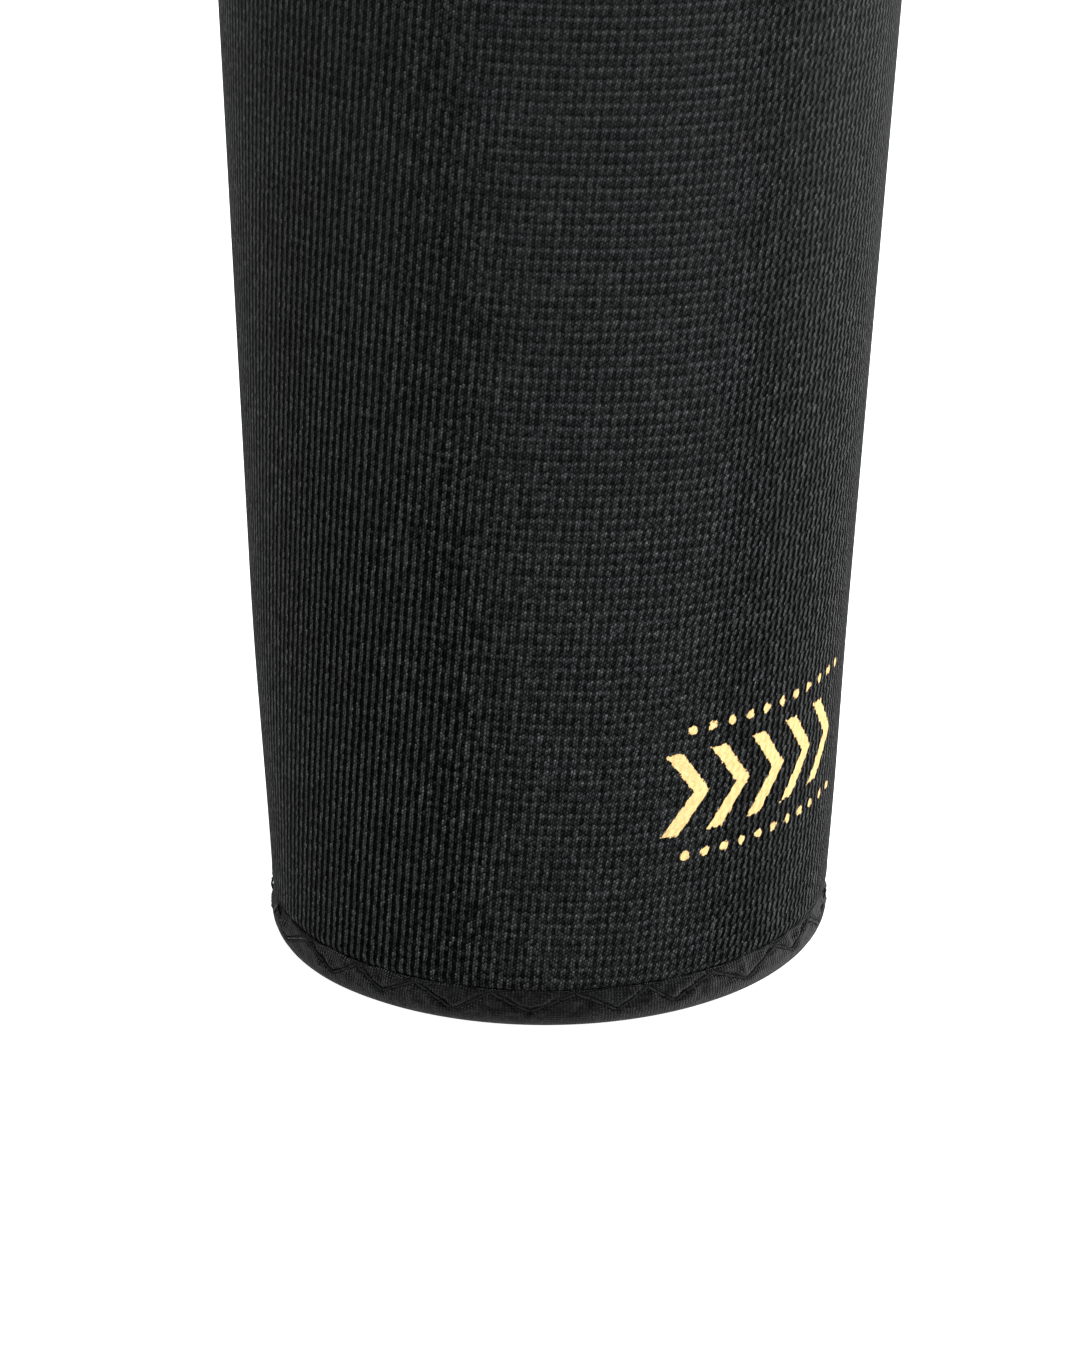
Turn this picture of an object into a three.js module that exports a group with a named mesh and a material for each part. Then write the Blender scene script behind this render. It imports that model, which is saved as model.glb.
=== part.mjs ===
// A pull-on knee sleeve: a tapered tube of thick foam faced with knit, bound with tape at both ends.
// Millimetres, +Z up. It stands on its calf end, and the printed side faces -Y.
// The middle of the whole outline stands on the origin. An azimuth of 0 faces -Y and one of 90 faces +X.
import * as THREE from "three";

// The tube, measured on the outside of its wall.
const sleeveLength = 300;
const calfRadius = 54;
const thighRadius = 68.8;
const wallThickness = 7;

// The thigh end stands a little to one side of the calf end.
const leanDistance = 4.4;
const leanAzimuth = 40;

// The tape that is folded over each end, and the clearance between it and the foam.
const bindingHeight = 8;
const bindingThickness = 1.2;
const bindingProud = 0.5;
const bindingRounding = 3.5;
const fabricGap = 0.3;

// The zigzag stitching, one tooth for each period, and how far it puckers the tape.
const stitchPeriod = 14.8;
const calfStitchAzimuth = -5.8;
const thighStitchAzimuth = 0;
const puckerHeight = 0.5;
const edgeWave = 0.35;

// How far the foam rounds over next to the tape's free edge.
const shoulderHeight = 1.6;
const shoulderInset = 0.45;

// Facets around each piece.
const bodySides = 72;
const sidesPerStitch = 4;

// Soft dents and swells of the whole wall. azimuth and halfWidth are degrees, height and halfHeight are
// shares of the sleeve's length, and depth is a share of the wall's thickness.
const dents = [
  { azimuth: -145, height: 0.0, halfWidth: 48, halfHeight: 0.24, depth: 0.2 },
  { azimuth: 40, height: 0.08, halfWidth: 40, halfHeight: 0.14, depth: -0.05 },
];

// Rows of the plain wall between the two bindings, as shares of the sleeve's length.
const wallRows = [0.06, 0.1, 0.14, 0.19, 0.25, 0.45, 0.7, 0.92];

// Rows down the outer leg of the tape. height is a share of the tape's height. atTooth and atPeak are how
// far the tape swells, as shares of the pucker, over a tooth of the zigzag and between two teeth.
const outerLegRows = [
  { height: 1.0, atTooth: 0.5, atPeak: -0.8 },
  { height: 0.8, atTooth: 1.0, atPeak: -0.2 },
  { height: 0.54, atTooth: -0.8, atPeak: 0.8 },
];

const turn = 360;

// A bump that is 1 in the middle and falls smoothly to 0 at its half width.
function softBump(distance, halfWidth) {
  const share = Math.min(1, Math.abs(distance) / halfWidth);
  return Math.cos((share * Math.PI) / 2) ** 2;
}

// The signed angle between two azimuths, from -180 to 180 degrees.
function angleBetween(azimuth, other) {
  return THREE.MathUtils.euclideanModulo(azimuth - other + turn / 2, turn) - turn / 2;
}

function dentDepth(azimuth, lengthShare) {
  return dents.reduce((sum, dent) => {
    const around = softBump(angleBetween(azimuth, dent.azimuth), dent.halfWidth);
    const along = softBump(lengthShare - dent.height, dent.halfHeight);
    return sum + dent.depth * wallThickness * around * along;
  }, 0);
}

// A point of the wall: inset is measured inwards from the outside of the foam.
function wallPoint(azimuth, inset, height) {
  const lengthShare = height / sleeveLength;
  const taper = THREE.MathUtils.lerp(calfRadius, thighRadius, lengthShare);
  const radius = taper - dentDepth(azimuth, lengthShare) - inset;
  const lean = leanDistance * (lengthShare - 1);
  const angle = THREE.MathUtils.degToRad(azimuth);
  const leanAngle = THREE.MathUtils.degToRad(leanAzimuth);
  return new THREE.Vector3(
    radius * Math.sin(angle) + lean * Math.sin(leanAngle),
    -radius * Math.cos(angle) - lean * Math.cos(leanAngle),
    height,
  );
}

// Turns a closed profile into a ring. Each profile row is a function of the azimuth that gives an inset
// and a height, so that the ring follows the wall's taper, lean and dents.
function turnedRing(rows, sides, firstAzimuth) {
  const outline = rows.map((row) => {
    const { inset, height } = row(firstAzimuth);
    return new THREE.Vector2(calfRadius - inset, height);
  });
  const ring = new THREE.LatheGeometry(outline, sides);
  const position = ring.getAttribute("position");
  for (let side = 0; side <= sides; side += 1) {
    const azimuth = firstAzimuth + ((side % sides) * turn) / sides;
    rows.forEach((row, index) => {
      const { inset, height } = row(azimuth);
      const point = wallPoint(azimuth, inset, height);
      position.setXYZ(side * rows.length + index, point.x, point.y, point.z);
    });
  }
  ring.computeVertexNormals();
  return ring;
}

// The foam steps in under the tape, and its ends are chamfered inside the tape's fold.
const seatInset = bindingThickness - bindingProud + fabricGap;
const foamEnd = bindingThickness + fabricGap;
const foamChamfer = bindingRounding - bindingThickness + (Math.SQRT2 - 2) * fabricGap;
const ledgeHeight = bindingHeight + edgeWave + fabricGap;

// One face of the foam near an end, from the end inwards: depth is measured into the wall from the face,
// and rise along the sleeve from its end.
function foamEndRows() {
  return [
    { depth: seatInset + foamChamfer, rise: foamEnd },
    { depth: seatInset, rise: foamEnd + foamChamfer },
    { depth: seatInset, rise: ledgeHeight },
    { depth: shoulderInset, rise: ledgeHeight },
    { depth: 0, rise: ledgeHeight + shoulderHeight },
  ];
}

// One whole face of the foam from the calf end to the thigh end.
function foamFaceRows() {
  const calf = foamEndRows().map(({ depth, rise }) => ({ depth, height: rise }));
  const plain = wallRows.map((share) => ({ depth: 0, height: share * sleeveLength }));
  const thigh = foamEndRows().map(({ depth, rise }) => ({ depth, height: sleeveLength - rise }));
  return [...calf, ...plain, ...thigh.reverse()];
}

function sleeveBodyGeometry() {
  const outside = foamFaceRows().map(({ depth, height }) => ({ inset: depth, height }));
  const inside = foamFaceRows().map(({ depth, height }) => ({ inset: wallThickness - depth, height }));
  const loop = [...outside, ...inside.reverse()];
  loop.push(loop[0]);
  return turnedRing(
    loop.map((row) => () => row),
    bodySides,
    0,
  );
}

// The tape's section from the outer free edge, round the fold, to the inner free edge and back.
// inset runs from the outside of the foam inwards, and rise from the sleeve's end along it.
function bindingRows(stitchCount, stitchAzimuth) {
  const outer = -bindingProud;
  const inner = wallThickness + bindingProud;
  const arcInset = bindingRounding * (1 - Math.SQRT1_2);
  const atTooth = (azimuth) => 0.5 + 0.5 * Math.cos(THREE.MathUtils.degToRad((azimuth - stitchAzimuth) * stitchCount));
  const edgeRise = (azimuth) => bindingHeight + edgeWave * (2 * atTooth(azimuth) - 1);
  const outerLeg = outerLegRows.map((row) => (azimuth) => {
    const swell = puckerHeight * THREE.MathUtils.lerp(row.atPeak, row.atTooth, atTooth(azimuth));
    return { inset: outer - swell, rise: row.height * edgeRise(azimuth) };
  });
  const fold = [
    { inset: outer, rise: bindingRounding },
    { inset: outer + arcInset, rise: arcInset },
    { inset: outer + bindingRounding, rise: 0 },
    { inset: inner - bindingRounding, rise: 0 },
    { inset: inner - arcInset, rise: arcInset },
    { inset: inner, rise: bindingRounding },
    { inset: inner, rise: bindingHeight },
    { inset: inner - bindingThickness, rise: bindingHeight },
    { inset: inner - bindingThickness, rise: bindingRounding },
    { inset: inner - bindingRounding, rise: bindingThickness },
    { inset: outer + bindingRounding, rise: bindingThickness },
    { inset: outer + bindingThickness, rise: bindingRounding },
  ].map((row) => () => row);
  const lining = (azimuth) => ({ inset: outer + bindingThickness, rise: edgeRise(azimuth) });
  return [...outerLeg, ...fold, lining];
}

// end is "calf" for the tape round the bottom, or "thigh" for the one round the top.
function bindingGeometry(end) {
  const onThigh = end === "thigh";
  const edgeRadius = onThigh ? thighRadius : calfRadius;
  const stitchAzimuth = onThigh ? thighStitchAzimuth : calfStitchAzimuth;
  const stitchCount = Math.round((2 * Math.PI * edgeRadius) / stitchPeriod);
  const rows = bindingRows(stitchCount, stitchAzimuth).map((row) => (azimuth) => {
    const { inset, rise } = row(azimuth);
    return { inset, height: onThigh ? sleeveLength - rise : rise };
  });
  const loop = [...rows, rows[0]];
  return turnedRing(onThigh ? loop : loop.reverse(), stitchCount * sidesPerStitch, stitchAzimuth);
}

function namedMesh(name, geometry, material) {
  const mesh = new THREE.Mesh(geometry, new THREE.MeshStandardMaterial(material));
  mesh.name = name;
  return mesh;
}

const knitFacing = { color: 0x1f2122, roughness: 0.85, metalness: 0 };
const bindingTape = { color: 0x161718, roughness: 0.92, metalness: 0 };

const kneeSleeve = new THREE.Group();
kneeSleeve.add(
  namedMesh("sleeve_body", sleeveBodyGeometry(), knitFacing),
  namedMesh("calf_binding", bindingGeometry("calf"), bindingTape),
  namedMesh("thigh_binding", bindingGeometry("thigh"), bindingTape),
);

export default kneeSleeve;
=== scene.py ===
"""A black knee sleeve of foam faced with ribbed knit, standing on its calf end.

Metres, +Z up. An azimuth of 0 faces -Y, where the print is, and one of 90 faces +X.
Sizes that repeat those of the CAD part are written in millimetres and scaled once.
"""

import bpy
import numpy as np
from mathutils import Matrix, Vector


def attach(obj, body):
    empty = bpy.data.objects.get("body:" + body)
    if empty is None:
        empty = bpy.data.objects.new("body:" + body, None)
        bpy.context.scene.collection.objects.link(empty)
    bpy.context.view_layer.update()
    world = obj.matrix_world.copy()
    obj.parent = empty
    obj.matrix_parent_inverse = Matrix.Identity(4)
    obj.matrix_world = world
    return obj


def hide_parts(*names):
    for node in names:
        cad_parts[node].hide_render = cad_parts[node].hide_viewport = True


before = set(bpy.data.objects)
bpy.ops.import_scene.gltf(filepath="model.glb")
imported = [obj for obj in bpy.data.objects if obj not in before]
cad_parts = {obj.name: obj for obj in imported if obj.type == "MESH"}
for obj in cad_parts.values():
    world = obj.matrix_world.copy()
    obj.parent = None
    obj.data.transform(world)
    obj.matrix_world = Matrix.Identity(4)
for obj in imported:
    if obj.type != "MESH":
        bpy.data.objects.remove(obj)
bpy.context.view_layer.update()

MM = 0.001

# The tube, as in the part.
SLEEVE_LENGTH = 300.0
CALF_RADIUS = 54.0
THIGH_RADIUS = 68.8
WALL = 7.0
LEAN_DISTANCE = 4.4
LEAN_AZIMUTH = 40.0

# Soft dents and swells. azimuth and half_width are degrees, height and half_height are shares of the
# length, and depth is a share of the wall.
DENTS = [
    {"azimuth": -145, "height": 0.0, "half_width": 48, "half_height": 0.24, "depth": 0.2},
    {"azimuth": 40, "height": 0.08, "half_width": 40, "half_height": 0.14, "depth": -0.05},
]

# The tape round each end, and the clearance between it and the foam.
TAPE_HEIGHT = 8.0
TAPE_THICKNESS = 1.2
TAPE_PROUD = 0.5
TAPE_ROUNDING = 3.5
TAPE_EDGE_WAVE = 0.35
COLUMNS_PER_TOOTH = 24
FABRIC_GAP = 0.25

# The foam inside the tape's fold, and its shoulder next to the tape's free edge.
TAPE_SEAT = TAPE_THICKNESS - TAPE_PROUD + FABRIC_GAP
FOAM_END = TAPE_THICKNESS + FABRIC_GAP
FOAM_ROUNDING = 2.0
SHOULDER_HEIGHT = 4.0
SHOULDER_DEPTH = 0.9
SHOULDER_SWELL = 0.12
WALL_COLUMNS = 432

# The butt seam down the back: a narrow groove in a wide one, and the close zigzag across it.
SEAM_AZIMUTH = 180.0
SEAM_GROOVES = [{"depth": 0.55, "spread": 0.8}, {"depth": 0.35, "spread": 3.5}]
SEAM_STEP = 2.6
SEAM_HALF_WIDTH = 2.0
SEAM_FIRST_HEIGHT = 12.0
SEAM_LAST_HEIGHT = SLEEVE_LENGTH - 11.0

# The zigzag stitching on the tape, and the slant of its lines in degrees.
STITCH_PERIOD = 14.8
CALF_STITCH_AZIMUTH = -5.8
THIGH_STITCH_AZIMUTH = 0.0
ZIGZAG_TOP = 7.7
ZIGZAG_BOTTOM = 3.7
ZIGZAG_SLANT = 28.0
STITCHES_PER_SLANT = 3

# How the zigzag wanders: waves round the end, share of a tooth it moves along and millimetres it rises.
ZIGZAG_WANDER = [
    {"waves": 7, "start": 0.0, "along": 0.07, "up": 0.25},
    {"waves": 11, "start": 1.0, "along": 0.05, "up": -0.2},
]

# The quilting of the tape's outer leg: a crease under the thread, a flap above it, which is fullest over
# a tooth, and a roll below it. The leg draws in from one rise on, and more from the next one on.
CREASE_DEPTH = 0.8
FLAP_HEIGHT = 0.34
ROLL_HEIGHT = 0.2
TUCK_DEPTHS = (0.4, 0.6)
TUCK_RISES = (3.5, 5.0)
WAVE_RISE = 6.0
FREE_EDGE_INSET = 0.2
FULLNESS_SEED = 7

# Small slanting folds of the tape: how many waves make them, their height, and the most that they slant,
# in radians for each millimetre of rise.
FOLD_WAVES = 16
FOLD_HEIGHT = 0.16
FOLD_SLANT = 1.4

# The thread, how far its stitches dip at their ends and between, and how they lie on the tape. The outer
# ones sink a little more, into the crease.
THREAD_RADIUS = 0.2
THREAD_SIDES = 6
THREAD_FINENESS = 3
STITCH_DIPS = (0.32, 0.1, 0.32)
SEAM_STITCH_DIPS = (0.3, 0.42, 0.3)
STITCH_PROUD = 0.02
CREASE_SINK = 0.12

# The knit, laid out on the flat panel that the tube is rolled from.
RIB_PITCH = 1.665
WALES_PER_RIB = 3
ROW_REPEAT = 2.3
ROWS_PER_REPEAT = 3
GRAIN_AZIMUTH = 27.7
BOW_AZIMUTH = -50.0
ROW_TILT = 0.033
ROW_BOW = 0.035

# The side facing the camera, where the gaps get the least painted shade, and the side on which the pillows
# lean most, where the gaps get more painted shade and the yarn is painted lighter.
CAMERA_SIDE_AZIMUTH = -42.0
SLANTED_AZIMUTH = 10.0

# Heights between which the knit grows flatter towards the thigh, in metres.
RELIEF_FULL_HEIGHT = 0.05
RELIEF_LOW_HEIGHT = 0.2

# Colours of the yarn and of the print's film.
YARN_WARM = (0.0180, 0.0189, 0.0195, 1)
YARN_COOL = (0.0170, 0.0197, 0.0197, 1)
FILM_LIGHT = (0.67, 0.475, 0.225, 1)
FILM_DARK = (0.48, 0.325, 0.13, 1)

# The generic print, in millimetres on the surface.
PRINT_MIDDLE = 47.0
PRINT_SOFTNESS = 0.12
CHEVRON_COUNT = 5
CHEVRON_PITCH = 9.6
CHEVRON_STROKE = 3.6
CHEVRON_HEIGHT = 17.0
CHEVRON_SWEEP = 0.75
DOT_COUNT = 11
DOT_PITCH = 4.4
DOT_RADIUS = 1.0
DOT_ROW_DISTANCE = 13.0

# The photograph's camera, round the calf end's middle.
PHOTO_AZIMUTH = -50.0
PHOTO_DISTANCE = 1214.8
PHOTO_HEIGHT = 563.7
PHOTO_PITCH = 22.93
PHOTO_YAW = 0.045
PHOTO_FOCAL_PIXELS = 6843.0
PHOTO_LONG_SIDE = 1350.0
SENSOR_WIDTH = 36.0

# The studio, in metres, and its lamps. azimuth counts from the photograph's camera.
FLOOR_SIZE = 30.0
FLOOR_DROP = 0.0002
SURROUND_STRENGTH = 0.2
LAMPS = [
    {"name": "right_softbox", "azimuth": 90, "elevation": 20, "distance": 1.2, "size": 0.7, "power": 17},
    {"name": "front_softbox", "azimuth": 20, "elevation": 40, "distance": 1.6, "size": 0.6, "power": 25},
    {"name": "back_softbox", "azimuth": 185, "elevation": 35, "distance": 1.6, "size": 0.8, "power": 13},
]

TAPER_SINE = (THIGH_RADIUS - CALF_RADIUS) / SLEEVE_LENGTH


def soft_bump(distance, half_width):
    """1 in the middle and 0 from the half width on."""
    share = np.minimum(1.0, np.abs(distance) / half_width)
    return np.cos(share * np.pi / 2) ** 2


def bell(distance, spread):
    """1 in the middle and falling away without an end."""
    return np.exp(-((distance / spread) ** 2))


def ramp(value, low, high):
    """0 below low, 1 above high and straight between."""
    return np.clip((value - low) / (high - low), 0, 1)


def angle_between(azimuth, other):
    return (azimuth - other + 180.0) % 360.0 - 180.0


def taper_radius(height):
    return CALF_RADIUS + (THIGH_RADIUS - CALF_RADIUS) * height / SLEEVE_LENGTH


def wall_radius(azimuth, height):
    """Outside radius of the foam, in millimetres."""
    share = height / SLEEVE_LENGTH
    radius = taper_radius(height)
    for dent in DENTS:
        around = soft_bump(angle_between(azimuth, dent["azimuth"]), dent["half_width"])
        along = soft_bump(share - dent["height"], dent["half_height"])
        radius = radius - dent["depth"] * WALL * around * along
    return radius


def wall_points(azimuth, inset, height):
    """Points in metres; inset is measured inwards from the outside of the foam."""
    radius = wall_radius(azimuth, height) - inset
    lean = LEAN_DISTANCE * (height / SLEEVE_LENGTH - 1)
    angle = np.radians(azimuth)
    lean_angle = np.radians(LEAN_AZIMUTH)
    x = radius * np.sin(angle) + lean * np.sin(lean_angle)
    y = -radius * np.cos(angle) - lean * np.cos(lean_angle)
    return np.stack([x, y, height + 0 * x], axis=-1) * MM


def panel_place(azimuth, height):
    """Place on the knit's flat panel, in ribs across and row repeats along."""
    radius = taper_radius(height)
    slant = radius / TAPER_SINE
    across = slant * np.sin(np.radians(azimuth - GRAIN_AZIMUTH) * TAPER_SINE)
    turned = np.radians(azimuth - BOW_AZIMUTH)
    along = height + radius * (ROW_TILT * turned - ROW_BOW * np.cos(turned))
    return across / RIB_PITCH, along / ROW_REPEAT


def ring_mesh(name, azimuths, insets, heights, uv_maps, materials, material_rows=None):
    """A closed ring from a loop of rows.

    azimuths has one value for each column, running once round. insets and heights are arrays of
    rows by columns. uv_maps gives, for each map, a function of unwrapped azimuth, row and height.
    """
    rows, columns = heights.shape
    points = wall_points(azimuths[None, :], insets, heights).reshape(-1, 3)
    row = np.repeat(np.arange(rows), columns)
    column = np.tile(np.arange(columns), rows)
    next_row = (row + 1) % rows
    next_column = (column + 1) % columns
    faces = np.stack(
        [
            row * columns + column,
            row * columns + next_column,
            next_row * columns + next_column,
            next_row * columns + column,
        ],
        axis=1,
    )
    mesh = bpy.data.meshes.new(name)
    mesh.vertices.add(len(points))
    mesh.vertices.foreach_set("co", points.ravel())
    mesh.loops.add(faces.size)
    mesh.loops.foreach_set("vertex_index", faces.ravel())
    mesh.polygons.add(len(faces))
    mesh.polygons.foreach_set("loop_start", np.arange(0, faces.size, 4))
    mesh.polygons.foreach_set("use_smooth", np.ones(len(faces), bool))
    mesh.update(calc_edges=True)
    step = 360.0 / columns
    corner_azimuth = azimuths[column][:, None] + step * np.array([0, 1, 1, 0])[None, :]
    corner_row = np.stack([row, row, row + 1, row + 1], axis=1)
    corner_height = heights.ravel()[faces]
    for map_name, place in uv_maps.items():
        across, along = place(corner_azimuth, corner_row, corner_height)
        layer = mesh.uv_layers.new(name=map_name)
        layer.data.foreach_set("uv", np.stack([across, along], axis=-1).ravel())
    for material in materials:
        mesh.materials.append(material)
    if material_rows is not None:
        mesh.polygons.foreach_set("material_index", np.asarray(material_rows)[row])
    mesh.validate()
    piece = bpy.data.objects.new(name, mesh)
    bpy.context.collection.objects.link(piece)
    return piece


def run_lengths(insets, heights):
    """Distance along a profile from its first row, closed with one more value."""
    across = np.diff(np.append(insets, insets[0]))
    along = np.diff(np.append(heights, heights[0]))
    return np.concatenate([[0.0], np.cumsum(np.hypot(across, along))])


class Signal:
    """A number in a material's node tree. Arithmetic on it adds Math nodes."""

    def __init__(self, finish, socket):
        self.finish = finish
        self.socket = socket

    def __add__(self, other):
        return self.finish.math("ADD", self, other)

    def __sub__(self, other):
        return self.finish.math("SUBTRACT", self, other)

    def __rsub__(self, other):
        return self.finish.math("SUBTRACT", other, self)

    def __mul__(self, other):
        return self.finish.math("MULTIPLY", self, other)

    def __truediv__(self, other):
        return self.finish.math("DIVIDE", self, other)

    __radd__ = __add__
    __rmul__ = __mul__

    def floor(self):
        return self.finish.math("FLOOR", self)

    def fract(self):
        return self.finish.math("FRACT", self)

    def abs(self):
        return self.finish.math("ABSOLUTE", self)

    def wave(self):
        """1 at each whole number and 0 halfway between two."""
        return self.finish.math("COSINE", self * (2 * np.pi)) * 0.5 + 0.5

    def least(self, other):
        return self.finish.math("MINIMUM", self, other)

    def most(self, other):
        return self.finish.math("MAXIMUM", self, other)

    def root(self):
        return self.finish.math("SQRT", self)

    def smooth(self, low, high):
        """0 below low, 1 above high and smooth between."""
        return self.finish.node(
            "ShaderNodeMapRange",
            {"interpolation_type": "SMOOTHSTEP"},
            {"Value": self, "From Min": low, "From Max": high},
            "Result",
        )


class Finish:
    """One procedural material."""

    def __init__(self, name):
        self.material = bpy.data.materials.new(name)
        self.material.use_nodes = True
        self.tree = self.material.node_tree
        self.tree.nodes.clear()

    def node(self, kind, settings, sockets, output):
        """Adds a node, sets it, then feeds its sockets with values or links."""
        made = self.tree.nodes.new(kind)
        for name, value in settings.items():
            setattr(made, name, value)
        for name, value in sockets.items():
            socket = made.inputs[name]
            if isinstance(value, Signal):
                self.tree.links.new(value.socket, socket)
            else:
                socket.default_value = value
        return Signal(self, made.outputs[output])

    def math(self, operation, *values):
        return self.node("ShaderNodeMath", {"operation": operation}, dict(enumerate(values)), 0)

    def vector(self, operation, sockets, output):
        return self.node("ShaderNodeVectorMath", {"operation": operation}, sockets, output)

    def uv(self, map_name):
        place = self.node("ShaderNodeUVMap", {"uv_map": map_name}, {}, "UV")
        parts = {"Vector": place}
        return (
            self.node("ShaderNodeSeparateXYZ", {}, parts, "X"),
            self.node("ShaderNodeSeparateXYZ", {}, parts, "Y"),
        )

    def pair(self, across, along):
        return self.node("ShaderNodeCombineXYZ", {}, {"X": across, "Y": along}, "Vector")

    def grain(self, across, along):
        """A random number for each whole-numbered cell."""
        sockets = {"Vector": self.pair(across.floor(), along.floor())}
        return self.node("ShaderNodeTexWhiteNoise", {"noise_dimensions": "2D"}, sockets, "Value")

    def cloud(self, vector, scale, detail):
        sockets = {"Vector": vector, "Scale": scale, "Detail": detail}
        return self.node("ShaderNodeTexNoise", {}, sockets, "Fac")

    def side_share(self, azimuth):
        """1 on the side of the sleeve at an azimuth, 0 a quarter turn round and -1 across from it."""
        level = self.vector("MULTIPLY", {0: self.object_place(), 1: (1, 1, 0)}, "Vector")
        outwards = self.vector("NORMALIZE", {0: level}, "Vector")
        angle = np.radians(azimuth)
        side = (np.sin(angle), -np.cos(angle), 0)
        return self.vector("DOT_PRODUCT", {0: outwards, 1: side}, "Value")

    def height(self):
        """Metres above the floor."""
        return self.node("ShaderNodeSeparateXYZ", {}, {"Vector": self.object_place()}, "Z")

    def object_place(self):
        return self.node("ShaderNodeTexCoord", {}, {}, "Object")

    def blend(self, share, first, second):
        sockets = {0: share, 6: first, 7: second}
        return self.node("ShaderNodeMix", {"data_type": "RGBA"}, sockets, 2)

    def shade(self, amount, colour):
        """A colour made darker or lighter by a number."""
        channels = {"Red": amount, "Green": amount, "Blue": amount}
        grey = self.node("ShaderNodeCombineColor", {}, channels, "Color")
        sockets = {0: 1.0, 6: colour, 7: grey}
        return self.node("ShaderNodeMix", {"data_type": "RGBA", "blend_type": "MULTIPLY"}, sockets, 2)

    def bump(self, height, distance):
        sockets = {"Height": height, "Distance": distance, "Strength": 1.0}
        return self.node("ShaderNodeBump", {}, sockets, "Normal")

    def surface(self, **sockets):
        """Joins a principled shader to the output and gives back the material."""
        shader = self.node("ShaderNodeBsdfPrincipled", {}, sockets, "BSDF")
        result = self.tree.nodes.new("ShaderNodeOutputMaterial")
        self.tree.links.new(shader.socket, result.inputs["Surface"])
        return self.material


def print_cover(finish, across, along, fray):
    """Share of the knit under the print: a row of chevrons between two rows of dots.

    across and along are millimetres on the surface, and fray moves the print's edges.
    """
    off_middle = (along - PRINT_MIDDLE).abs()
    swept = across + off_middle * CHEVRON_SWEEP
    from_stroke = nearest_repeat(swept, CHEVRON_PITCH) - CHEVRON_STROKE / 2
    past_ends = swept.abs() - CHEVRON_PITCH * CHEVRON_COUNT / 2
    chevrons = from_stroke.most(off_middle - CHEVRON_HEIGHT / 2).most(past_ends)

    to_dot_row = (off_middle - DOT_ROW_DISTANCE).abs()
    to_dot_column = nearest_repeat(across, DOT_PITCH)
    from_dot = (to_dot_row * to_dot_row + to_dot_column * to_dot_column).root() - DOT_RADIUS
    dots = from_dot.most(across.abs() - DOT_PITCH * DOT_COUNT / 2)
    return (fray - chevrons.least(dots)).smooth(-PRINT_SOFTNESS, PRINT_SOFTNESS)


def nearest_repeat(place, pitch):
    """Distance to the nearest of the marks that stand a pitch apart, one of them at 0."""
    return ((place / pitch + 0.5).fract() - 0.5).abs() * pitch


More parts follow.
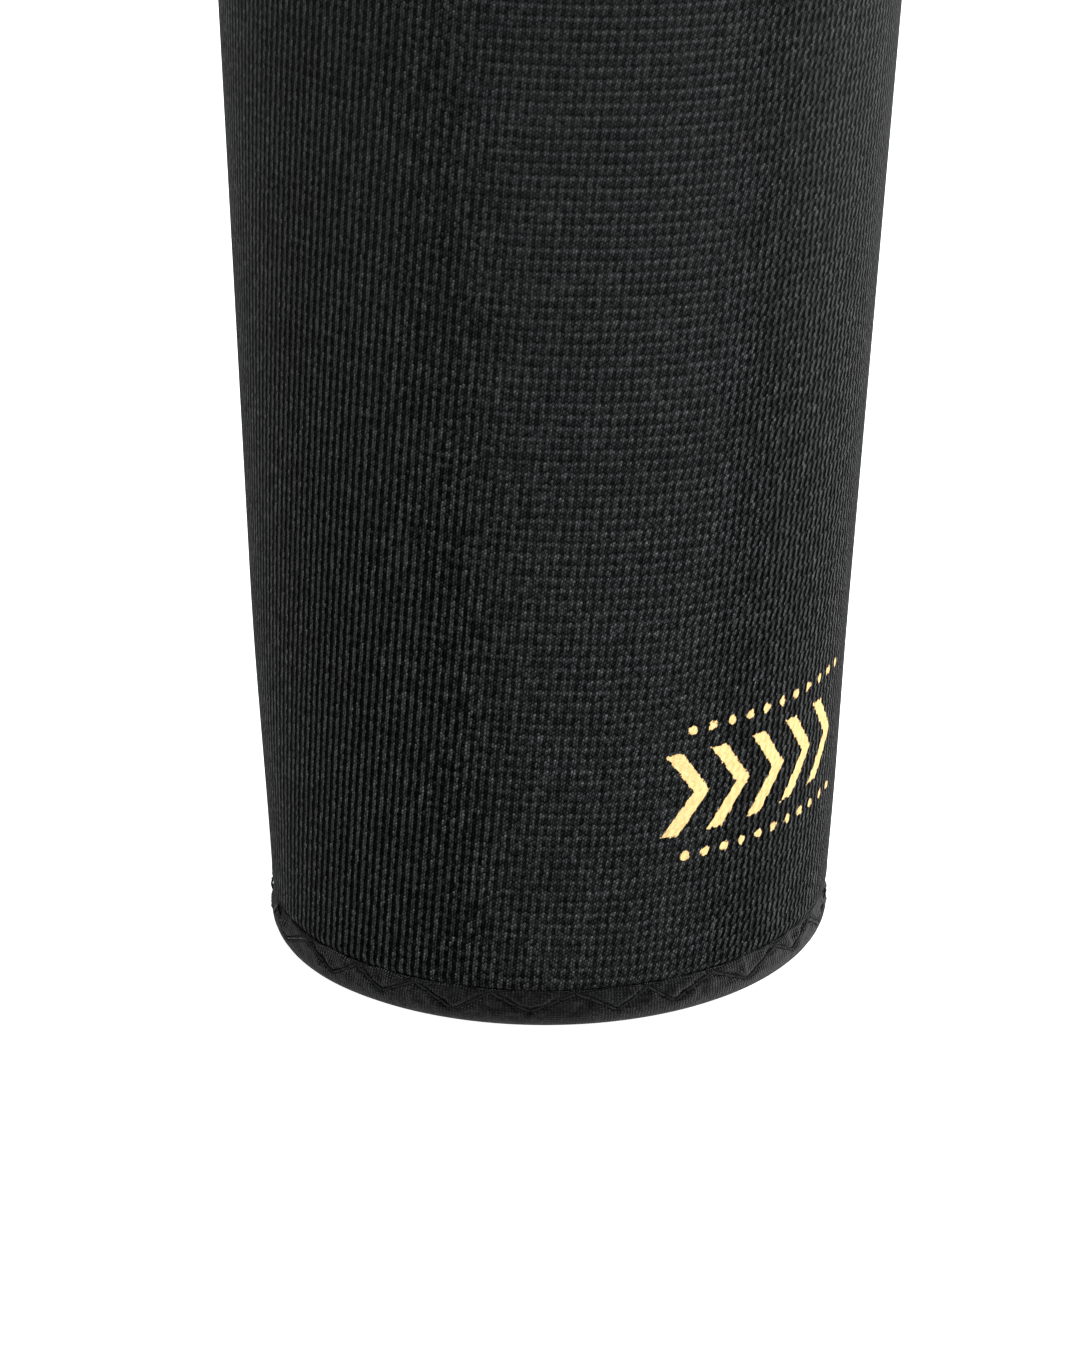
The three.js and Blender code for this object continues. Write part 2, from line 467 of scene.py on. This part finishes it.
def knit_facing_finish():
    """Black ribbed knit: rows of small pillows, three wales wide and three rows high.

    The ribs are parted by deep gaps, which every third row bridges. The colour carries painted shade in the
    gaps and between the rows of pillows, and painted highlights on the pillows' tops, on the crests and in
    glints. On the side facing the camera the painted gap shade is narrow and light, and the painted lines
    between the rows of pillows show more. Away from that side the gaps are painted wider and darker, the
    yarn is painted lighter and the ribs run straighter, and round the slanted side their pillows lean, with
    more painted shade in the gaps and lighter painted yarn.
    """
    finish = Finish("knit_facing")
    ribs, repeats = finish.uv("panel")
    across, along = finish.uv("print")

    # Where on the sleeve each look of the knit prevails: head on to the camera, seen obliquely, on the
    # slanted side and higher up. These set the painted shade and highlights, and how the ribs wander and
    # lean.
    camera_side = finish.side_share(CAMERA_SIDE_AZIMUTH)
    head_on = camera_side.smooth(0.86, 0.985)
    facing = camera_side.smooth(0.5, 0.95)
    oblique = 1 - camera_side.smooth(0.6, 0.95)
    slanted = finish.side_share(SLANTED_AZIMUTH).smooth(0.3, 0.9)
    calm = finish.height().smooth(RELIEF_FULL_HEIGHT, RELIEF_LOW_HEIGHT)

    # The ribs, the gaps between them and the lines between their pillows, with painted shade in the gaps
    # and lines and a painted highlight on the pillows' tops.
    wander = finish.cloud(finish.pair(ribs, repeats), 1.3, 2.0) - 0.5
    rib = ribs + wander * (0.3 - oblique * 0.2) - (repeats.fract() - 0.5) * (0.06 + slanted * 0.32)
    bridge = (repeats + 0.2).wave().smooth(0.4, 1.0)
    knob = finish.grain((rib + 0.5) * 2, repeats * ROWS_PER_REPEAT) - 0.5
    edge = rib.wave() - head_on * 0.3 + oblique * 0.14 + slanted * 0.08 + knob * 0.45
    # Painted shade in the gaps: darkest on the oblique and slanted sides, lighter head on to the camera and
    # higher up.
    gap_shade_strength = (1 - head_on * 0.4) * (1 - facing * (0.25 - slanted * 0.2)) * (1 - calm * 0.4)
    gap = edge.smooth(0.38, 0.64) * (1 - bridge * (0.3 - oblique * 0.1)) * gap_shade_strength
    # Painted shade in the lines between the rows of pillows, strongest head on.
    row_line_shade = repeats.wave().smooth(0.7, 1.0) * (0.1 + head_on * 0.4)
    # Painted highlight on the top of each pillow, strongest head on.
    pillow_top_highlight = bridge * (0.1 + head_on * (1.5 - rib.wave() * 1.1))

    # The stitches: three wales of leaning loops to a rib.
    wale = rib * WALES_PER_RIB + 0.5
    row = repeats * ROWS_PER_REPEAT
    lean = (wale.fract() - 0.5).abs()
    stagger = (wale.floor() * 0.5).fract()
    loop = (row + lean * 0.8 + stagger).wave()
    chain = (wale + 0.5).wave()
    stitch = loop * 0.55 + chain * 0.45
    grain = finish.grain(wale, row + stagger)
    # Painted highlights: specks of light on the ribs' crests, fewer head on and higher up.
    crest_highlight = finish.grain(rib, row).smooth(0.8, 0.95) * (1 - rib.wave())
    crest_highlight = crest_highlight * (0.7 - head_on * 0.55 - oblique * 0.1) * (1 - calm * 0.5)
    cloud = finish.cloud(finish.object_place(), 60.0, 2.0)

    # The yarn's relief and its colour, with painted shade in the gaps and between the rows, painted
    # highlights on the pillow tops and crests, painted glints, and yarn painted lighter on the oblique and
    # slanted sides.
    pillow = (1 - rib.wave()).root() * (0.7 + (1 - repeats.wave()).root() * 0.3)
    height = pillow * 0.6 + stitch * 0.35 + grain * 0.1
    # Painted shade in the gaps and between the rows, and a painted highlight on the pillow tops.
    painted_relief_shading = (1 - gap) * (1 - gap) * (1 - row_line_shade) * (1 + pillow_top_highlight)
    yarn_tone = 0.02 + calm * 0.22 + stitch * stitch * (1.9 - calm * 0.85)
    evenness = head_on * 0.65 + oblique * 0.4 + calm * 0.45
    # Painted light: the yarn is lighter on the oblique sides and on the slanted side; grain varies it at
    # random.
    painted_side_light_and_grain = 0.25 + evenness * 0.4 + oblique * 0.26 + slanted * 0.1 + grain * (1.3 - evenness)
    yarn_tone = yarn_tone * painted_side_light_and_grain
    # Painted glints on the stitches.
    glint = grain.smooth(0.88, 0.97) * stitch.smooth(0.35, 0.8) * (1 - gap)
    glint = glint * (1.8 - head_on * 0.8 - oblique * 0.3 - calm * 0.9)
    tone = (painted_relief_shading * yarn_tone + glint + crest_highlight) * (0.88 + cloud * 0.24)
    yarn = finish.blend(cloud.smooth(0.3, 0.7), YARN_WARM, YARN_COOL)
    cloth = finish.shade(tone, yarn)

    # The print's film on the knit, and the light coat of the bare yarn.
    fray = (grain - 0.5) * 0.35 - gap * 0.25
    cover = print_cover(finish, across, along, fray)
    # The film's dark colour comes at random and as painted shade over the gaps.
    film = finish.blend(grain * 0.6 + gap * 0.4, FILM_LIGHT, FILM_DARK)
    colour = finish.blend(cover, cloth, film)
    relief = height * (1 - cover * 0.7) * (1 - calm * 0.35) + cover * 0.6
    lustre = grain * grain * 0.2 + oblique * (0.08 + slanted * 0.12)
    lustre = lustre * (1 - gap) * (1 - gap) * (1 - cover)
    return finish.surface(
        **{
            "Base Color": colour,
            "Roughness": 0.75 - cover * 0.3,
            "Specular IOR Level": 0.01,
            "Sheen Weight": 0.005,
            "Sheen Roughness": 0.3,
            "Coat Weight": lustre,
            "Coat Roughness": 0.5,
            "Normal": finish.bump(relief, 0.0008),
        }
    )


def jersey_finish(name, map_name, dark, light, pitch, roughness, depth, crinkle):
    """Plain fine jersey on a map in millimetres.

    pitch is the width of a stitch and depth the relief in metres. crinkle is how far crumples shift the
    wales, in stitches.
    """
    finish = Finish(name)
    across, along = finish.uv(map_name)
    crumple = finish.cloud(finish.object_place(), 480.0, 3.0)
    wale = across / pitch + crumple * crinkle
    row = along / (pitch * 0.8)
    slope = (wale.fract() * 2 - 1).abs()
    stitch = (row + slope * 0.5).wave() * 0.45 + (wale + 0.5).wave() * 0.55
    grain = finish.grain(wale, row)
    cloud = finish.cloud(finish.object_place(), 160.0, 3.0)
    tone = (0.05 + stitch * stitch * 1.7) * (0.05 + grain * 1.9) * (0.6 + cloud * 0.8)
    colour = finish.shade(tone, finish.blend(cloud, dark, light))
    return finish.surface(
        **{
            "Base Color": colour,
            "Roughness": roughness,
            "Specular IOR Level": 0.05,
            "Sheen Weight": 0.1,
            "Sheen Roughness": 0.4,
            "Normal": finish.bump(stitch + grain * 0.3 + crumple * crinkle * 2, depth),
        }
    )


def thread_finish():
    """Black polyester thread with a fine twist."""
    finish = Finish("sewing_thread")
    place = finish.object_place()
    twist = finish.cloud(place, 2600.0, 1.0)
    colour = finish.shade(0.6 + twist * 0.8, (0.005, 0.0055, 0.006, 1))
    return finish.surface(
        **{
            "Base Color": colour,
            "Roughness": 0.5,
            "Specular IOR Level": 0.1,
            "Normal": finish.bump(twist, 0.00005),
        }
    )


def foam_face_profile():
    """Depth into the wall and rise from the calf end, for one face of the foam from end to end."""
    turn = np.radians(np.linspace(90, 0, 7))
    corner_depth = TAPE_SEAT + FOAM_ROUNDING - FOAM_ROUNDING * np.cos(turn)
    corner_rise = FOAM_END + FOAM_ROUNDING - FOAM_ROUNDING * np.sin(turn)
    shoulder = np.linspace(0, 1, 9)
    shoulder_rise = TAPE_HEIGHT + 0.1 + SHOULDER_HEIGHT * shoulder ** 1.5
    shoulder_depth = SHOULDER_DEPTH * (1 - shoulder) ** 3 - SHOULDER_SWELL * np.sin(np.pi * shoulder)
    depth = np.concatenate([corner_depth, [TAPE_SEAT], shoulder_depth])
    rise = np.concatenate([corner_rise, [TAPE_HEIGHT - 0.2], shoulder_rise])
    plain = np.linspace(14, SLEEVE_LENGTH - 14, 64)
    depths = np.concatenate([depth, np.zeros(len(plain)), depth[::-1]])
    heights = np.concatenate([rise, plain, (SLEEVE_LENGTH - rise)[::-1]])
    return depths, heights


def all_round(profile, azimuths):
    """The same profile at each azimuth, as rows by columns."""
    return np.repeat(profile[:, None], len(azimuths), axis=1)


def build_wall(knit, lining):
    """The foam wall with its knit facing outside and its lining inside."""
    azimuths = -180.0 + 360.0 / WALL_COLUMNS * np.arange(WALL_COLUMNS)
    depths, heights = foam_face_profile()
    face_rows = len(depths)
    insets = all_round(np.concatenate([depths, (WALL - depths)[::-1]]), azimuths)
    rises = all_round(np.concatenate([heights, heights[::-1]]), azimuths)
    from_seam = np.radians(np.abs(angle_between(azimuths, SEAM_AZIMUTH))) * CALF_RADIUS
    groove = sum(part["depth"] * bell(from_seam, part["spread"]) for part in SEAM_GROOVES)
    insets[:face_rows] += groove[None, :]

    def panel(azimuth, row, height):
        return panel_place(azimuth, height)

    def flat(azimuth, row, height):
        return np.radians(azimuth) * taper_radius(height), height

    is_lining = np.zeros(2 * face_rows, int)
    is_lining[face_rows - 1:] = 1
    uv_maps = {"panel": panel, "print": flat}
    return ring_mesh("sleeve_wall", azimuths, insets, rises, uv_maps, [knit, lining], is_lining)


def tooth_count(end_radius):
    return round(2 * np.pi * end_radius / STITCH_PERIOD)


def zigzag_wander(place, count, measure):
    """How far the zigzag strays at a place that is counted in teeth."""
    angle = 2 * np.pi * place / count
    return sum(wave[measure] * np.sin(wave["waves"] * angle + wave["start"]) for wave in ZIGZAG_WANDER)


def zigzag_azimuth(place, count, start):
    return start + (place + zigzag_wander(place, count, "along")) * 360.0 / count


def zigzag_place(azimuth, count, start):
    """Place along the zigzag, counted in teeth, of an azimuth."""
    places = np.linspace(-count, 2 * count, 120 * count)
    return np.interp(azimuth, zigzag_azimuth(places, count, start), places)


def zigzag_height(place, count):
    """Height of the zigzag above the end, from its peaks down to its teeth."""
    to_tooth = np.abs(place % 1.0 - 0.5) * 2
    drop = ZIGZAG_BOTTOM - ZIGZAG_TOP + zigzag_wander(place, count, "up")
    return ZIGZAG_TOP + drop * to_tooth


def slanting_folds(azimuths, rises, count, generator):
    """Small folds that slant across the tape and meet themselves after a turn, in millimetres."""
    folds = 0 * rises
    for _ in range(FOLD_WAVES):
        turns = generator.integers(count, 4 * count)
        slant = generator.uniform(-FOLD_SLANT, FOLD_SLANT)
        begin = generator.uniform(0, 2 * np.pi)
        folds = folds + np.sin(turns * np.radians(azimuths)[None, :] + slant * rises + begin)
    above_fold = np.clip((rises - TAPE_ROUNDING) / 1.2, 0, 1)
    below_edge = np.clip((TAPE_HEIGHT - rises) / 1.5, 0.4, 1)
    return FOLD_HEIGHT * folds / np.sqrt(FOLD_WAVES / 2) * above_fold * below_edge


def tape_section():
    """The tape's section from its outer free edge, round the fold, to the inner one and back.

    Gives the insets and rises, and how many rows the outer leg has.
    """
    outer, inner = -TAPE_PROUD, WALL + TAPE_PROUD
    leg = np.linspace(TAPE_HEIGHT, TAPE_ROUNDING, 16)[:-1]
    short_leg = leg[::3]
    turn = np.radians(np.linspace(0, 90, 8))
    arc_inset = TAPE_ROUNDING * (1 - np.cos(turn))
    arc_rise = TAPE_ROUNDING * (1 - np.sin(turn))
    lining = [
        (inner - TAPE_THICKNESS, TAPE_ROUNDING),
        (inner - TAPE_ROUNDING, TAPE_THICKNESS),
        (outer + TAPE_ROUNDING, TAPE_THICKNESS),
        (outer + TAPE_THICKNESS, TAPE_ROUNDING),
    ]
    runs = [
        (outer + 0 * leg, leg),
        (outer + arc_inset, arc_rise),
        (inner - arc_inset[::-1], arc_rise[::-1]),
        (inner + 0 * short_leg, short_leg[::-1]),
        (inner - TAPE_THICKNESS + 0 * short_leg, short_leg),
        tuple(np.array(lining).T),
        (outer + TAPE_THICKNESS + 0 * short_leg, short_leg[::-1]),
    ]
    insets = np.concatenate([run[0] for run in runs])
    rises = np.concatenate([run[1] for run in runs])
    return insets, rises, len(leg)


def quilt(azimuths, rises, count, start, generator):
    """How far the outer leg stands out where the zigzag gathers it, and how near a tooth each column is."""
    place = zigzag_place(azimuths, count, start)
    tooth = 0.5 + 0.5 * np.cos(2 * np.pi * place)
    fullness = generator.uniform(0.6, 1.25, count)[np.round(place).astype(int) % count]
    above = (rises - zigzag_height(place, count)[None, :]) * np.cos(np.radians(ZIGZAG_SLANT))
    crease = CREASE_DEPTH * bell(above, 0.4)
    ridge = bell(above - 1.1, 0.7) + 0.35 * ramp(above, 0, 1.6)
    flap = FLAP_HEIGHT * ridge * (tooth ** 0.5 * fullness)[None, :]
    roll = ROLL_HEIGHT * bell(above + 1.4, 0.9)
    first_tuck = TUCK_DEPTHS[0] * ramp(rises, *TUCK_RISES)
    second_tuck = TUCK_DEPTHS[1] * ramp(rises, TUCK_RISES[1], TAPE_HEIGHT) ** 2
    folds = slanting_folds(azimuths, rises, count, generator)
    return flap + roll + folds - crease - first_tuck - second_tuck, tooth


def build_tape(name, end_radius, start, upside_down, material):
    """The folded tape, gathered into a shallow scallop at each tooth of the zigzag."""
    count = tooth_count(end_radius)
    columns = count * COLUMNS_PER_TOOTH
    azimuths = start + 360.0 / columns * np.arange(columns)
    section_insets, section_rises, leg_rows = tape_section()
    insets = all_round(section_insets, azimuths)
    rises = all_round(section_rises, azimuths)
    generator = np.random.default_rng(FULLNESS_SEED)
    swell, tooth = quilt(azimuths, rises[:leg_rows], count, start, generator)
    insets[:leg_rows] -= swell
    insets[0] += FREE_EDGE_INSET
    free_edge = ramp(rises[:leg_rows], WAVE_RISE, TAPE_HEIGHT)
    rises[:leg_rows] += free_edge * TAPE_EDGE_WAVE * (2 * tooth - 1)[None, :]

    order = slice(None) if upside_down else slice(None, None, -1)
    heights = SLEEVE_LENGTH - rises if upside_down else rises
    along = run_lengths(section_insets[order], section_rises[order])

    def cut(azimuth, row, height):
        return np.radians(azimuth) * end_radius, along[row]

    return ring_mesh(name, azimuths, insets[order], heights[order], {"cut": cut}, [material])


def stitch_lines(end_radius, start, upside_down, inside):
    """Both ends and the middle of every stitch of one zigzag, on one face of the tape."""
    count = tooth_count(end_radius)
    dips = np.array(STITCH_DIPS)
    if inside:
        inset = WALL + TAPE_PROUD + STITCH_PROUD - dips
    else:
        inset = dips + CREASE_SINK - TAPE_PROUD - STITCH_PROUD
    lines = []
    for slant in range(count * 2):
        for step in range(STITCHES_PER_SLANT):
            shares = (step + np.array([0.06, 0.5, 0.94])) / STITCHES_PER_SLANT
            place = (slant + shares) / 2
            azimuth = zigzag_azimuth(place, count, start)
            rise = zigzag_height(place, count)
            height = SLEEVE_LENGTH - rise if upside_down else rise
            lines.append(wall_points(azimuth, inset, height))
    return lines


def seam_lines():
    """A close zigzag across the seam down the back."""
    shares = np.array([0.05, 0.5, 0.95])
    lines = []
    for index, first in enumerate(np.arange(SEAM_FIRST_HEIGHT, SEAM_LAST_HEIGHT, SEAM_STEP)[:-1]):
        side = 1 if index % 2 else -1
        across = side * SEAM_HALF_WIDTH * (1 - 2 * shares)
        height = first + SEAM_STEP * shares
        azimuth = SEAM_AZIMUTH + np.degrees(across / wall_radius(SEAM_AZIMUTH, height))
        lines.append(wall_points(azimuth, np.array(SEAM_STITCH_DIPS), height))
    return lines


def thread_tree(thread):
    """Turns lines into round thread with closed ends."""
    tree = bpy.data.node_groups.new("thread_on_lines", "GeometryNodeTree")
    face = tree.interface
    face.new_socket("Geometry", in_out="INPUT", socket_type="NodeSocketGeometry")
    radius = face.new_socket("Thread radius", in_out="INPUT", socket_type="NodeSocketFloat")
    sides = face.new_socket("Sides", in_out="INPUT", socket_type="NodeSocketInt")
    face.new_socket("Geometry", in_out="OUTPUT", socket_type="NodeSocketGeometry")
    nodes, links = tree.nodes, tree.links
    source = nodes.new("NodeGroupInput")
    result = nodes.new("NodeGroupOutput")
    curve = nodes.new("GeometryNodeMeshToCurve")
    spline = nodes.new("GeometryNodeCurveSplineType")
    spline.spline_type = "CATMULL_ROM"
    fineness = nodes.new("GeometryNodeSetSplineResolution")
    fineness.inputs["Resolution"].default_value = THREAD_FINENESS
    ring = nodes.new("GeometryNodeCurvePrimitiveCircle")
    tube = nodes.new("GeometryNodeCurveToMesh")
    tube.inputs["Fill Caps"].default_value = True
    realize = nodes.new("GeometryNodeRealizeInstances")
    paint = nodes.new("GeometryNodeSetMaterial")
    paint.inputs["Material"].default_value = thread
    links.new(source.outputs["Geometry"], curve.inputs["Mesh"])
    links.new(curve.outputs["Curve"], spline.inputs["Curve"])
    links.new(spline.outputs["Curve"], fineness.inputs["Geometry"])
    links.new(source.outputs["Thread radius"], ring.inputs["Radius"])
    links.new(source.outputs["Sides"], ring.inputs["Resolution"])
    links.new(fineness.outputs["Geometry"], tube.inputs["Curve"])
    links.new(ring.outputs["Curve"], tube.inputs["Profile Curve"])
    links.new(tube.outputs["Mesh"], realize.inputs["Geometry"])
    links.new(realize.outputs["Geometry"], paint.inputs["Geometry"])
    links.new(paint.outputs["Geometry"], result.inputs["Geometry"])
    return tree, radius.identifier, sides.identifier


def sew(name, lines, tree_and_sockets):
    """One piece of thread made from many short stitches."""
    tree, radius_socket, sides_socket = tree_and_sockets
    edges = []
    first = 0
    for line in lines:
        edges += [(first + index, first + index + 1) for index in range(len(line) - 1)]
        first += len(line)
    guide = bpy.data.meshes.new(name + "_guide")
    guide.from_pydata(np.concatenate(lines).tolist(), edges, [])
    guide_object = bpy.data.objects.new(name + "_guide", guide)
    bpy.context.collection.objects.link(guide_object)
    modifier = guide_object.modifiers.new("thread", "NODES")
    modifier.node_group = tree
    modifier[radius_socket] = THREAD_RADIUS * MM
    modifier[sides_socket] = THREAD_SIDES
    graph = bpy.context.evaluated_depsgraph_get()
    mesh = bpy.data.meshes.new_from_object(guide_object.evaluated_get(graph))
    mesh.name = name
    bpy.data.objects.remove(guide_object)
    bpy.data.meshes.remove(guide)
    mesh.polygons.foreach_set("use_smooth", np.ones(len(mesh.polygons), bool))
    piece = bpy.data.objects.new(name, mesh)
    bpy.context.collection.objects.link(piece)
    return piece


def outwards_at(azimuth, elevation=0.0):
    """The direction out of the sleeve's axis at an azimuth and an elevation, in degrees."""
    angle, rise = np.radians(azimuth), np.radians(elevation)
    level = np.cos(rise)
    return Vector((np.sin(angle) * level, -np.cos(angle) * level, np.sin(rise)))


def add_camera():
    """The photograph's camera, from the fitted distance, height and pitch."""
    outwards = outwards_at(PHOTO_AZIMUTH)
    data = bpy.data.cameras.new("camera")
    data.sensor_width = SENSOR_WIDTH
    data.lens = PHOTO_FOCAL_PIXELS / PHOTO_LONG_SIDE * SENSOR_WIDTH
    data.clip_end = 10.0
    camera = bpy.data.objects.new("camera", data)
    bpy.context.collection.objects.link(camera)
    calf_middle = -outwards_at(LEAN_AZIMUTH) * LEAN_DISTANCE
    above_floor = Vector((0, 0, PHOTO_HEIGHT))
    camera.location = (calf_middle + outwards * PHOTO_DISTANCE + above_floor) * MM
    looking = -outwards_at(PHOTO_AZIMUTH + PHOTO_YAW, PHOTO_PITCH)
    camera.rotation_euler = looking.to_track_quat("-Z", "Y").to_euler()
    bpy.context.scene.camera = camera


def add_lamp(name, azimuth, elevation, distance, size, power):
    """A round softbox that faces the middle of the sleeve."""
    outwards = outwards_at(PHOTO_AZIMUTH + azimuth, elevation)
    data = bpy.data.lights.new(name, "AREA")
    data.shape = "DISK"
    data.size = size
    data.energy = power
    lamp = bpy.data.objects.new(name, data)
    bpy.context.collection.objects.link(lamp)
    middle = Vector((0, 0, SLEEVE_LENGTH * MM / 2))
    lamp.location = middle + outwards * distance
    lamp.rotation_euler = (-outwards).to_track_quat("-Z", "Y").to_euler()


def add_studio():
    """A white floor, a white surround and three soft lamps: on the right, in front and at the back."""
    bpy.ops.mesh.primitive_plane_add(size=FLOOR_SIZE)
    floor = bpy.context.object
    floor.name = "floor"
    floor.location.z = -FLOOR_DROP
    paint = Finish("studio_floor")
    floor.data.materials.append(
        paint.surface(
            **{
                "Base Color": (0.8, 0.8, 0.8, 1),
                "Roughness": 0.9,
                "Specular IOR Level": 0.1,
                "Emission Color": (1, 1, 1, 1),
                "Emission Strength": 1.0,
            }
        )
    )
    scene = bpy.context.scene
    world = bpy.data.worlds.new("surround")
    world.use_nodes = True
    background = world.node_tree.nodes["Background"]
    background.inputs["Color"].default_value = (1, 1, 1, 1)
    background.inputs["Strength"].default_value = SURROUND_STRENGTH
    scene.world = world
    scene.view_settings.view_transform = "Standard"
    for lamp in LAMPS:
        add_lamp(**lamp)


knit_facing = knit_facing_finish()
lining_jersey = jersey_finish(
    "lining_jersey",
    "print",
    dark=(0.011, 0.012, 0.013, 1),
    light=(0.02, 0.021, 0.022, 1),
    pitch=0.8,
    roughness=0.7,
    depth=0.00008,
    crinkle=0.0,
)
tape_jersey = jersey_finish(
    "tape_jersey",
    "cut",
    dark=(0.0025, 0.0027, 0.0027, 1),
    light=(0.012, 0.0126, 0.0127, 1),
    pitch=0.6,
    roughness=0.8,
    depth=0.0003,
    crinkle=1.0,
)
sewing_thread = thread_finish()

sleeve_wall = build_wall(knit_facing, lining_jersey)
calf_tape = build_tape("calf_tape", CALF_RADIUS, CALF_STITCH_AZIMUTH, False, tape_jersey)
thigh_tape = build_tape("thigh_tape", THIGH_RADIUS, THIGH_STITCH_AZIMUTH, True, tape_jersey)
tree_and_sockets = thread_tree(sewing_thread)
calf_lines = stitch_lines(CALF_RADIUS, CALF_STITCH_AZIMUTH, False, False)
calf_lines += stitch_lines(CALF_RADIUS, CALF_STITCH_AZIMUTH, False, True)
thigh_lines = stitch_lines(THIGH_RADIUS, THIGH_STITCH_AZIMUTH, True, False)
thigh_lines += stitch_lines(THIGH_RADIUS, THIGH_STITCH_AZIMUTH, True, True)
calf_stitches = sew("calf_stitches", calf_lines, tree_and_sockets)
thigh_stitches = sew("thigh_stitches", thigh_lines, tree_and_sockets)
back_seam_stitches = sew("back_seam_stitches", seam_lines(), tree_and_sockets)

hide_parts("sleeve_body")
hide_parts("calf_binding")
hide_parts("thigh_binding")
for piece in (sleeve_wall, calf_tape, thigh_tape, calf_stitches, thigh_stitches, back_seam_stitches):
    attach(piece, "root")

for tape, radius in ((calf_tape, CALF_RADIUS), (thigh_tape, THIGH_RADIUS)):
    cut_length = 2 * np.pi * radius * MM

add_studio()
add_camera()
